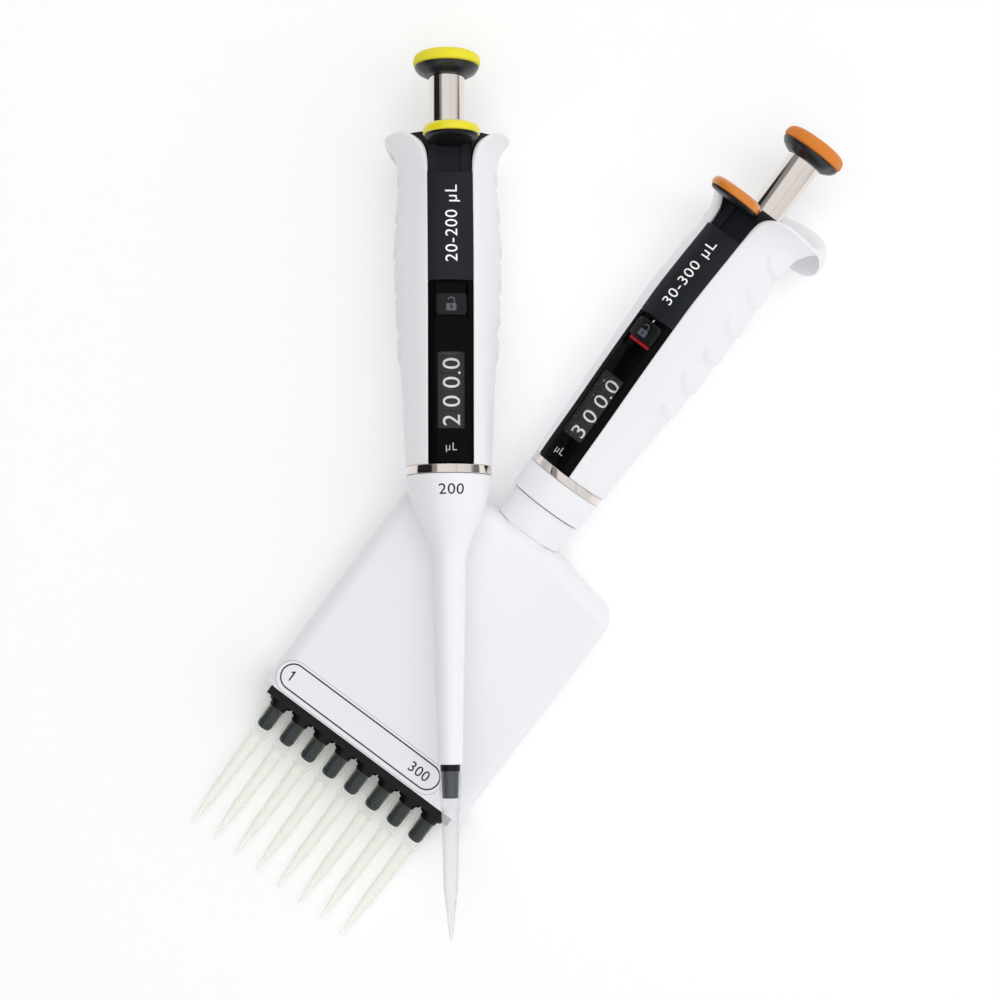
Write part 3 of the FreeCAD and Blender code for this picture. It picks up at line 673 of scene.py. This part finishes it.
def handle(prefix, place, colours, digits, capacity, lock_up):
    """The handle's pieces. colours are its cap's and pad's looks; digits is the volume that it shows."""
    body = prefix + "_handle"
    add = adder(prefix, place)
    add("grip", handle_shell(), body, "white_plastic", stands_for=["handle_shell"], crease=50)
    add("name_plate", grip_plate(STRIP_HALF, PANEL_SPLIT + 0.1, 95.6, 1.9, 0.22), body, "dark_plastic",
        stands_for=["name_panel"])
    add("display_plate", grip_plate(STRIP_HALF, 3.2, PANEL_SPLIT - 0.12, 1.2, 0.25,
                                    hole=(WINDOW_HALF, *WINDOW_Z), pocket=(5.4, 48.6, 60.1, 0.9)),
        body, "black_gloss", stands_for=["display_panel"])
    window_mid = (0.0, sum(WINDOW_Z) / 2)
    window_high = (WINDOW_Z[1] - WINDOW_Z[0]) / 2 - 0.04
    add("window", pillow(WINDOW_HALF - 0.04, window_high, 0.3, [(0.0, -1.1), (0.0, -0.12), (0.1, -0.04)],
                         on_grip, window_mid), body, "smoked_window", stands_for=["display_window"])

    # lock slider with its padlock sign, and the marks beside it
    lift = LOCK_TRAVEL if lock_up else 0.0
    lock_mid = (0.0, (LOCK_Z[0] + LOCK_Z[1]) / 2 + lift)
    add("lock", pillow(LOCK_HALF - 0.05, (LOCK_Z[1] - LOCK_Z[0]) / 2, 1.1,
                       soft_edge(LOCK_PROUD, 0.45, 5, -0.75), on_grip, lock_mid),
        prefix + "_lock", "lock_plastic", stands_for=["lock_button"])
    add("lock_sign", padlock(lock_mid), prefix + "_lock", "label_plastic", "print_slate")
    add("lock_keyhole", keyhole(lock_mid), prefix + "_lock", "black_plastic", "print_black")
    if lock_up:
        low_mark = [(0.0, -0.92), (0.0, -0.84), (0.05, -0.8)]
        add("lock_mark", pillow(4.4, 0.5, 0.25, low_mark, on_grip, (-0.1, 51.35)), body, "label_plastic",
            "print_red")
        add("lock_tick", pillow(0.2, 0.5, 0.15, low_mark, on_grip, (0.0, 59.55), 0.3), body,
            "label_plastic", "print_white")

    # counter: ten numbers round each wheel, the shown one at the front
    for (name, z), shown in zip(WHEEL_Z.items(), digits):
        parts = []
        for i in range(10):
            turn = math.radians(36 * (i - int(shown)))
            parts.append(mapped(glyphs(str(i), 5.8, 0.1, weight=-0.016), wheel_rule(z, turn)))
        add("digits_" + name, merged(*parts), f"{prefix}_wheel_{name}", "wheel_plastic", "print_white",
            crease=60)
        wheel = eased([(6.3, z - 2.9), (WHEEL_R, z - 2.9), (WHEEL_R, z + 2.9), (6.3, z + 2.9)], 0.35)
        add("drum_" + name, moved(turned(wheel), 0, -WHEEL_OFFSET, 0), f"{prefix}_wheel_{name}",
            "wheel_plastic", stands_for=["wheel_" + name])
    mask = grip_plate(6.0, 12.5, 39.5, 2.0, 0.1, -1.55, hole=(3.35, 13.4, 38.4))
    add("counter_mask", mask, body, "dark_plastic")
    on_wheels = lambda x, z, height: (x, -WHEEL_OFFSET - WHEEL_R - 0.22 - height, z)
    dot = pillow(0.42, 0.42, 0.41, [(0.0, 0.0), (0.0, 0.06), (0.06, 0.1)], on_wheels, (2.7, 31.6), 0.5)
    add("decimal_point", dot, body, "label_plastic", "print_white")

    # printing
    upward = lambda u, v, w: on_grip(-v, CAPACITY_Z + u, w)
    level = lambda u, v, w: on_grip(u, UNIT_Z + v, w)
    volumes = mapped(glyphs(capacity, 4.0, 0.06, 1.1, weight=-0.008), upward)
    add("capacity_print", volumes, body, "label_plastic", "print_white", crease=60)
    unit = mapped(glyphs("µL", 2.6, 0.05, 1.1, weight=-0.01), level)
    add("unit_print", unit, body, "label_plastic", "print_grey", crease=60)

    # metal ring
    ring = eased([(12.6, 0.02), (RING_R, 0.02), (RING_R, RING_H - 0.02), (12.6, RING_H - 0.02)], 0.22)
    add("ring", turned(ring, 128), body, "chrome", stands_for=["metal_ring"])

    # operating button, its flange and the tube
    dial = prefix + "_dial"
    dome = [(10.25, 0), (10.8, 0.45), (10.9, 1.4), (10.75, 2.4), (10.2, 3.3), (9.2, 4.0), (7.6, 4.45),
            (5.0, 4.7), (2.4, 4.78), (0, 4.8)]
    cap = curve([(r, CAP_Z + h) for r, h in dome], 3) + [(0.0, CAP_Z)]
    add("cap", turned(cap, 112), dial, colours[0], stands_for=["button_cap"])
    under = eased([(5.95, 129.9), (6.6, 129.85), (7.3, 130.1), (9.3, 131.2), (10.35, 132.5, 0.5),
                   (10.5, CAP_Z - 0.1), (5.95, CAP_Z - 0.1)], 0.3)
    flats = fluted(-0.28, 4, 6, 130.2, 133.0)
    add("flange", turned(under, 128, wave=flats), dial, "dark_plastic", "flange_plastic",
        stands_for=["button_flange"])
    barrel = eased([(4.95, 88.05), (5.85, 88.05), (5.85, 131.6), (4.95, 131.6)], 0.15)
    add("barrel", turned(barrel, 112), dial, "chrome", stands_for=["plunger_tube"])

    add("eject_pad", eject_pad(), prefix + "_ejector", colours[1], stands_for=["eject_button"])
    foot = [[(x, y, z) for x, y in teardrop(g)] for g, z in
            ((-3.0, 104.6), (-1.3, 104.7), (-0.75, 105.1), (-0.62, 105.6), (-0.6, 106.0))]
    add("eject_foot", stacked(foot), prefix + "_ejector", "dark_plastic", "black_plastic")


def padlock(mid):
    """An open-padlock sign: a rounded body under a shackle that is free at its left end."""
    x0, z0 = mid
    raised = lambda x, z, h: on_grip(x0 + x, z0 + z, LOCK_PROUD - 0.01 + h)
    parts = [pillow(1.6, 1.15, 0.25, [(0.0, 0.0), (0.0, 0.05), (0.02, 0.06)], raised, (0.0, -1.0), 0.5)]
    line = [(1.0, 0.1), (1.0, 1.05)]
    line += [(math.cos(math.radians(15 * i)), 1.05 + math.sin(math.radians(15 * i))) for i in range(1, 12)]
    rings = []
    for i, (x, z) in enumerate(line):
        (xa, za), (xb, zb) = line[max(i - 1, 0)], line[min(i + 1, len(line) - 1)]
        side = Vector((zb - za, xa - xb)).normalized() * 0.19
        section = ((-1, 0), (-1, 0.06), (1, 0.06), (1, 0))
        rings.append([raised(x + side.x * d, z + side.y * d, h) for d, h in section])
    parts.append(stacked(rings))
    return merged(*parts)


def keyhole(mid):
    """The keyhole in the padlock's body."""
    raised = lambda x, z, h: on_grip(mid[0] + x, mid[1] + z, LOCK_PROUD + 0.04 + h)
    flat = [(0.0, 0.0), (0.0, 0.03), (0.02, 0.04)]
    return merged(pillow(0.36, 0.36, 0.35, flat, raised, (0.0, -0.8), 0.3),
                  pillow(0.16, 0.42, 0.1, flat, raised, (0.0, -1.3), 0.3))


def wheel_rule(z, turn):
    """Places a number on a counter wheel, reading upwards, turned round the wheel by turn."""
    def rule(u, v, w):
        r = WHEEL_R + w - 0.01
        a = v / WHEEL_R + turn
        return (-r * math.sin(a), -WHEEL_OFFSET - r * math.cos(a), z + u)
    return rule


# ------------------------------ disposable tips
def tip_shape(top, length, waist, steps=64):
    """A thin-walled tip: a ribbed collar, a clear shoulder, and a slow taper to a fine point."""
    collar, shoulder, bottom = top - 11.6, top - length * 0.70, top - length
    outside = [(3.3, top), (3.52, top - 0.08), (3.56, top - 0.7), (3.36, top - 0.95), (3.3, top - 6.4),
               (3.42, top - 6.8), (3.42, top - 7.7), (3.18, top - 8.1), (3.1, collar + 0.4),
               (waist + 0.1, collar - 0.4), (waist, collar - 1.2), (waist * 0.8, shoulder), (0.42, bottom)]
    inside = [(0.22, bottom), (waist * 0.8 - 0.4, shoulder), (waist - 0.45, collar), (2.64, top - 8.7),
              (3.0, top - 0.3), (3.3, top)]
    return turned(eased(outside, 0.2, 3) + inside, steps, wave=fluted(0.16, 8, 10, top - 6.3, top - 1.0))


# ------------------------------ single-channel pipette
def single():
    place = pipette_frame("single")
    handle("single", place, ("yellow_cap", "yellow_gloss"), "2000", "20-200 µL", False)
    add = adder("single", place)
    bell = [(13.3, -0.12), (13.6, -0.16), (13.74, -0.4), (13.66, -1.5), (13.35, -3.6), (12.35, -7.4),
            (11.25, -11.3), (9.6, -15.2), (7.85, -19.1), (6.35, -23.0), (5.62, -26.2), (5.4, -31.0),
            (5.12, -43.0), (4.65, -62.0), (4.12, -84.5), (3.97, -91.2)]
    outside = curve(bell, 4)
    inside = [(3.35, -91.8), (4.1, -31.0), (4.35, -26.2), (6.5, -19.1), (9.9, -11.3), (11.4, -5.0),
              (12.35, -0.9)]
    sleeve = outside + [(3.9, -91.65), (3.8, -91.78), (3.6, -91.8)] + inside
    add("sleeve", turned(sleeve, 128), "single_ejector", "white_plastic", stands_for=["ejector_sleeve"])
    upwards = outside[::-1]

    def on_sleeve(u, v, w):
        z = NUMBER_Z + v
        r = lookup(upwards, z) + w - 0.01
        a = u / NUMBER_R
        return (r * math.sin(a), -r * math.cos(a), z)

    number = mapped(glyphs("200", 3.45, 0.05, 1.06, 1.13, 0.004), on_sleeve)
    add("number_print", number, "single_ejector", "black_plastic", "print_black", crease=60)
    cone = [(3.0, RING_H - 0.05), (12.35, RING_H - 0.05), (12.35, 0.05), (9.4, 0.0), (9.4, -3.0),
            (7.4, -12.0), (5.0, -20.0), (4.0, -26.0), (3.9, -32.0), (3.2, -88.0), (3.0, -90.5),
            (2.95, -94.6), (2.86, -94.7), (2.86, -95.1), (2.92, -95.2), (2.7, -101.2), (2.55, -102.3),
            (2.45, -102.5), (1.0, -102.5), (1.0, -87.0), (2.3, -86.0), (2.3, -30.0), (3.0, -28.0)]
    flutes = fluted(-0.16, 10, 4, -101.5, -95.2)       # on the part of the cone that shows through the tip
    add("cone", turned(cone, 96, wave=flutes), "single_handle", "slate_plastic", stands_for=["tip_cone"])
    band = eased([(3.0, -90.4), (3.14, -90.4), (3.14, -93.85), (2.98, -93.85)], 0.1)
    add("cone_collar", turned(band, 96), "single_handle", "black_plastic")
    add("tip_shell", tip_shape(*SINGLE_TIP, 96), "single_tip", "tip_clear", stands_for=["tip"],
        crease=60, below=(SINGLE_TIP[0] - FROST, look("tip_frosted")))


# ------------------------------ 8-channel pipette
def housing_half(side):
    """Half of the flat lower housing, as a shell with soft edges. side is -1 for the front."""
    def outline(inset):
        half, top, shoulder = BODY_HALF - inset, BODY_TOP - inset, BODY_SHOULDER - inset
        corner = 6.2 - inset
        path = [(-half, BODY_BOTTOM)]
        for i in range(22):
            path.append((-half, BODY_BOTTOM + (shoulder - corner - BODY_BOTTOM) * (i + 1) / 22))
        for i in range(1, 11):
            a = math.pi / 2 * i / 10
            path.append((-half + corner * (1 - math.cos(a)), shoulder - corner * (1 - math.sin(a))))
        x0, z0 = path[-1]
        for i in range(1, 13):
            u = i / 12
            path.append((x0 + (-13 - x0) * u, z0 + (top - z0) * (u * u * (3 - 2 * u) * 0.35 + u * 0.65)))
        path += [(-6.5, top), (0.0, top)]
        return path + [(-x, z) for x, z in reversed(path[:-1])]

    rings = []
    seam, edge = 0.12, 5.6
    wall, depth_in, edge_in = 2.0, 10, 3.6
    steps = [(0.18, 0.0), (0.0, seam + 0.1)]
    for i in range(1, 11):
        a = math.pi / 2 * i / 10
        steps.append((edge * (1 - math.cos(a)), BODY_DEPTH - edge * (1 - math.sin(a))))
    for inset, depth in steps:
        rings.append([(x, side * max(depth, 0.02), z) for x, z in outline(inset)])
    flat_out = [[(x * s, side * BODY_DEPTH, BODY_BOTTOM + (z - BODY_BOTTOM) * s) for x, z in outline(edge)]
                for s in (0.7, 0.35, 0.02)]
    outer = stacked(rings + flat_out, False)
    wall_rings = [[(x, side * 0.02, z) for x, z in outline(wall)]]
    for i in range(0, 7):
        a = math.pi / 2 * i / 6
        depth = depth_in - edge_in * (1 - math.sin(a))
        inset = wall + edge_in * (1 - math.cos(a))
        wall_rings.append([(x, side * depth, z) for x, z in outline(inset)])
    wall_rings += [[(x * s, side * depth_in, BODY_BOTTOM + (z - BODY_BOTTOM) * s)
                    for x, z in outline(wall + edge_in)] for s in (0.7, 0.02)]
    n = len(rings[0])
    base = len(outer[0])
    verts, faces = merged(outer, stacked(wall_rings, False))
    # stacked() closed each outline along the open bottom: leave those out and join the shells by rims
    rows_o, rows_i = len(rings) + len(flat_out), len(wall_rings)
    faces = [f for f in faces if not is_wrap(f, n, base)]
    for i in range(n - 1):
        faces.append((i, i + 1, base + i + 1, base + i))
    # the small last outline of each flat face is closed over
    faces.append(tuple((rows_o - 1) * n + i for i in range(n)))
    faces.append(tuple(base + (rows_i - 1) * n + i for i in range(n)))
    ends_o = [s * n for s in range(rows_o)], [s * n + n - 1 for s in range(rows_o)]
    ends_i = [base + s * n for s in range(rows_i)], [base + s * n + n - 1 for s in range(rows_i)]
    loop = ends_o[0] + list(reversed(ends_o[1])) + ends_i[1] + list(reversed(ends_i[0]))
    return verts, faces, loop


def is_wrap(face, n, base):
    """Whether a face joins the last and the first point of an outline."""
    spots = {(i - base if i >= base else i) % n for i in face}
    return 0 in spots and n - 1 in spots


def build_housing(side, name, add):
    verts, faces, loop = housing_half(side)
    shell = verts, faces + bottom_rim(verts, loop)
    add("housing_" + name, shell, "multi_manifold", "white_plastic", stands_for=["manifold_" + name],
        crease=42)


def bottom_rim(verts, loop):
    """The flat rim at the open bottom, from the outer edge to the inner one."""
    work = bmesh.new()
    made = [work.verts.new(verts[i]) for i in loop]
    work.verts.index_update()
    face = work.faces.new(made)
    out = bmesh.ops.triangulate(work, faces=[face])
    tris = [tuple(loop[v.index] for v in f.verts) for f in out["faces"]]
    work.free()
    return tris


def multi():
    upper = pipette_frame("multi")
    lower = pipette_frame("multi", SWIVEL)
    handle("multi", upper, ("orange_cap", "orange_gloss"), "3000", "30-300 µL", True)
    add = adder("multi", lower)
    collar = eased([(12.5, -1.2), (3.1, -1.2), (3.1, 2.7), (12.3, 2.7), (12.3, -0.06), (13.5, -0.08),
                    (13.55, -9.95), (12.5, -9.95), (12.5, -1.3)], 0.35)
    add_above = adder("multi", upper)
    add_above("swivel", turned(collar, 128), "multi_handle", "white_plastic", stands_for=["swivel_collar"])
    neck = eased([(9.1, -22.0), (9.1, -11.3), (11.7, -11.3), (11.7, -10.25), (12.4, -10.25), (12.2, -15.0),
                  (11.95, -20.2), (11.75, -20.5), (10.8, -20.55), (10.8, -23.9), (9.1, -23.9), (9.1, -22.0)],
                 0.3)
    add("neck", turned(neck, 128), "multi_manifold", "white_plastic", stands_for=["neck_collar"])

    build_housing(-1, "front", add)
    build_housing(1, "back", add)

    # writing strip on the front, in a fine black line, on its low plinth
    on_front = lambda x, z, h: (x, -BODY_DEPTH - h, z)
    hx, hz = LABEL_SIZE[0] / 2, LABEL_SIZE[1] / 2
    add("label", pillow(hx, hz, hz - 0.01, soft_edge(0.26, 0.2, 4, -0.3), on_front, LABEL), "multi_manifold",
        "label_plastic", stands_for=["label_strip"])

    def round_label(levels, shift, capped=False):
        """Outlines round the strip, joined: each d outside its edge and at height h."""
        return stacked([[(x + LABEL[0], -BODY_DEPTH - h, z + LABEL[1] + shift)
                         for x, z in stadium(hx + d, hz + d)] for d, h in levels], capped)

    line = round_label(((-0.05, 0.1), (-0.05, 0.31), (-0.5, 0.31), (-0.5, 0.1)), 0.0)
    add("label_line", line, "multi_manifold", "black_plastic", "print_black", crease=60)
    plinth = ((1.05, -0.2), (1.05, 0.02), (0.9, 0.13), (0.6, 0.17), (-0.4, 0.17))
    add("label_plinth", round_label(plinth, PLINTH_SHIFT, True), "multi_manifold", "white_plastic")
    # painted shadow: a light grey ring round the plinth stands for the shadow of its edge; it is no groove
    painted_shadow_ring = round_label(((0.95, -0.1), (0.95, 0.06), (1.25, 0.06), (1.25, -0.1)), PLINTH_SHIFT)
    add("label_groove", painted_shadow_ring, "multi_manifold", "white_plastic", "groove_shade", crease=60)
    flat = lambda x, z: (lambda u, v, w: (x + u, -BODY_DEPTH - 0.25 - w, z + v))
    add("first_channel_print", mapped(flagged_one(3.7, 0.06), flat(LABEL[0] - hx + 4.0, LABEL[1])),
        "multi_manifold", "black_plastic", "print_black", crease=60)
    add("number_print", mapped(glyphs("300", 3.7, 0.06, 1.05), flat(LABEL[0] + hx - 7.6, LABEL[1])),
        "multi_manifold", "black_plastic", "print_black", crease=60)

    # the eight cones, with their collars and tips
    cones, collars, tips = [], [], []
    cone = [(2.8, -66.0), (3.6, -66.0), (3.6, -109.0), (3.1, -109.2), (3.1, -111.2), (2.9, -111.3),
            (2.9, -119.4), (2.72, -119.5), (2.72, -119.9), (2.88, -120.0), (2.74, -125.7), (2.55, -126.7),
            (2.05, -127.3), (1.0, -127.5), (1.0, -104.0), (2.8, -103.0)]
    collar = eased([(2.92, -111.4), (3.2, -111.4), (3.2, -118.0), (3.1, -118.85), (2.92, -118.85)], 0.15)
    flutes = fluted(-0.16, 10, 4, -126.0, -120.0)
    ribbed = fluted(-0.14, 12, 2, -118.4, -111.7)
    for i in range(8):
        x = PITCH * (i - 3.5)
        cones.append(moved(turned(cone, 80, wave=flutes), x))
        collars.append(moved(turned(collar, 72, wave=ribbed), x))
        tips.append(moved(tip_shape(*MULTI_TIP), x))
    add("cones", merged(*cones), "multi_manifold", "slate_plastic", "cone_plastic", ["tip_cones"])
    add("cone_collars", merged(*collars), "multi_manifold", "black_plastic")
    add("tip_row", merged(*tips), "multi_tip_set", "tip_tinted", stands_for=["tips"], crease=60,
        below=(MULTI_TIP[0] - FROST, look("tip_milky")))


def flagged_one(height, thick):
    """The figure 1 with a short flag at its head, as vertices (along, up, out) round its middle."""
    half, stem, flag = height / 2, 0.065 * height, 0.25 * height
    parts = []
    for outline in ([(-stem, -half), (stem, -half), (stem, half), (-stem, half)],
                    [(-flag, half - 0.32 * height), (stem, half - 0.16 * height), (stem, half),
                     (-flag, half - 0.18 * height)]):
        parts.append(stacked([[(x, z, h) for x, z in outline] for h in (0.0, thick)]))
    return merged(*parts)


def stadium(hx, hz, count=24):
    """A long outline with round ends, always of the same number of points."""
    out = []
    for side, a0 in ((1, -90), (-1, 90)):
        for i in range(count + 1):
            a = math.radians(a0 + 180 * i / count)
            out.append((side * (hx - hz) + hz * math.cos(a), hz * math.sin(a)))
    return out


def dress_cad_nodes():
    """Gives every CAD node the look of its slot. Those that a piece replaces don't show."""
    slots = {s["node"]: s["material_slot"] for s in frame["record"]["subparts"]}
    for name, obj in frame["nodes"].items():
        obj.data.materials.clear()
        obj.data.materials.append(look(slots[name]))


# ------------------------------ the studio
# brightness round the studio from its left side, 0, to its right, 1: dark flags give the metal its bands
STUDIO_BANDS = [(0.0, 0.02), (0.15, 0.02), (0.16, 0.3), (0.25, 0.36), (0.262, 1.0), (0.64, 1.0),
                (0.69, 0.82), (0.73, 1.0), (0.93, 0.9), (0.975, 0.22)]
STUDIO_FILL = [(0.0, 0.3), (0.3, 0.52), (0.55, 0.66), (1.0, 0.72)]


def studio():
    scene = bpy.context.scene
    scene.view_settings.view_transform = "Standard"
    low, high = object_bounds()
    centre = (low + high) / 2

    floor_mesh = bpy.data.meshes.new("floor")
    half = 1.6
    floor_mesh.from_pydata([(-half, -half, 0), (half, -half, 0), (half, half, 0), (-half, half, 0)], [],
                           [(0, 1, 2, 3)])
    floor = bpy.data.objects.new("floor", floor_mesh)
    floor.location = (centre.x, centre.y, low.z - 0.00005)
    paper = finish_of("paper", (252, 252, 252), 0.9, spread=0.004, grain=0.6, bump=0.0001, glow=0.1)
    floor_mesh.materials.append(paper)
    scene.collection.objects.link(floor)
    floor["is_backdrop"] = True

    def lamp(name, size, power, place, aim, colour=(1, 1, 1)):
        data = bpy.data.lights.new(name, "AREA")
        data.shape = "RECTANGLE"
        data.size, data.size_y = size
        data.energy = power
        data.color = colour
        obj = bpy.data.objects.new(name, data)
        obj.visible_glossy = False
        obj.location = place
        obj.rotation_euler = (Vector(aim) - Vector(place)).to_track_quat("-Z", "Y").to_euler()
        scene.collection.objects.link(obj)

    aim = (centre.x, centre.y, 0.03)
    lamp("ceiling", (1.1, 1.1), 8.0, (0.1, 0.1, 1.5), aim)
    lamp("right", (0.5, 1.4), 1.4, (1.1, -0.1, 0.8), aim)

    world = bpy.data.worlds.new("studio")
    scene.world = world
    world.use_nodes = True
    tree = world.node_tree
    tree.nodes.clear()
    out = tree.nodes.new("ShaderNodeOutputWorld")
    ray = tree.nodes.new("ShaderNodeLightPath")
    split = tree.nodes.new("ShaderNodeSeparateXYZ")
    where = tree.nodes.new("ShaderNodeTexCoord")
    across = tree.nodes.new("ShaderNodeMapRange")
    across.inputs["From Min"].default_value = -1
    tree.links.new(where.outputs["Generated"], split.inputs[0])
    tree.links.new(split.outputs["X"], across.inputs["Value"])

    def glow(rows, strength, warm):
        """Light that changes from the studio's left side to its right."""
        ramp = tree.nodes.new("ShaderNodeValToRGB")
        stops = ramp.color_ramp.elements
        while len(stops) < len(rows):
            stops.new(0.5)
        for stop, (at, value) in zip(stops, rows):
            stop.position = at
            stop.color = (value, value * (1 - warm), value * (1 - 2 * warm), 1)
        tree.links.new(across.outputs["Result"], ramp.inputs["Fac"])
        made = tree.nodes.new("ShaderNodeBackground")
        made.inputs["Strength"].default_value = strength
        tree.links.new(ramp.outputs["Color"], made.inputs["Color"])
        return made

    def either(choice, first, second):
        mix = tree.nodes.new("ShaderNodeMixShader")
        tree.links.new(ray.outputs[choice], mix.inputs[0])
        tree.links.new(first.outputs[0], mix.inputs[1])
        tree.links.new(second.outputs[0], mix.inputs[2])
        return mix

    lit = either("Is Glossy Ray", glow(STUDIO_FILL, 1.0, -0.006), glow(STUDIO_BANDS, 0.93, 0.008))
    seen = glow([(0.0, 0.97), (1.0, 0.97)], 1.0, 0.0)
    tree.links.new(either("Is Camera Ray", lit, seen).outputs[0], out.inputs[0])


def camera():
    """Straight down on the pair, from the height that gives the right lean of the parts."""
    data = bpy.data.cameras.new("camera")
    data.lens = 80
    data.sensor_width = 36
    data.clip_start, data.clip_end = 0.01, 10
    obj = bpy.data.objects.new("camera", data)
    obj.location = (-0.004115, 0.000607, 0.7576)
    bpy.context.scene.collection.objects.link(obj)
    bpy.context.scene.camera = obj


dress_cad_nodes()
single()
multi()
studio()
camera()
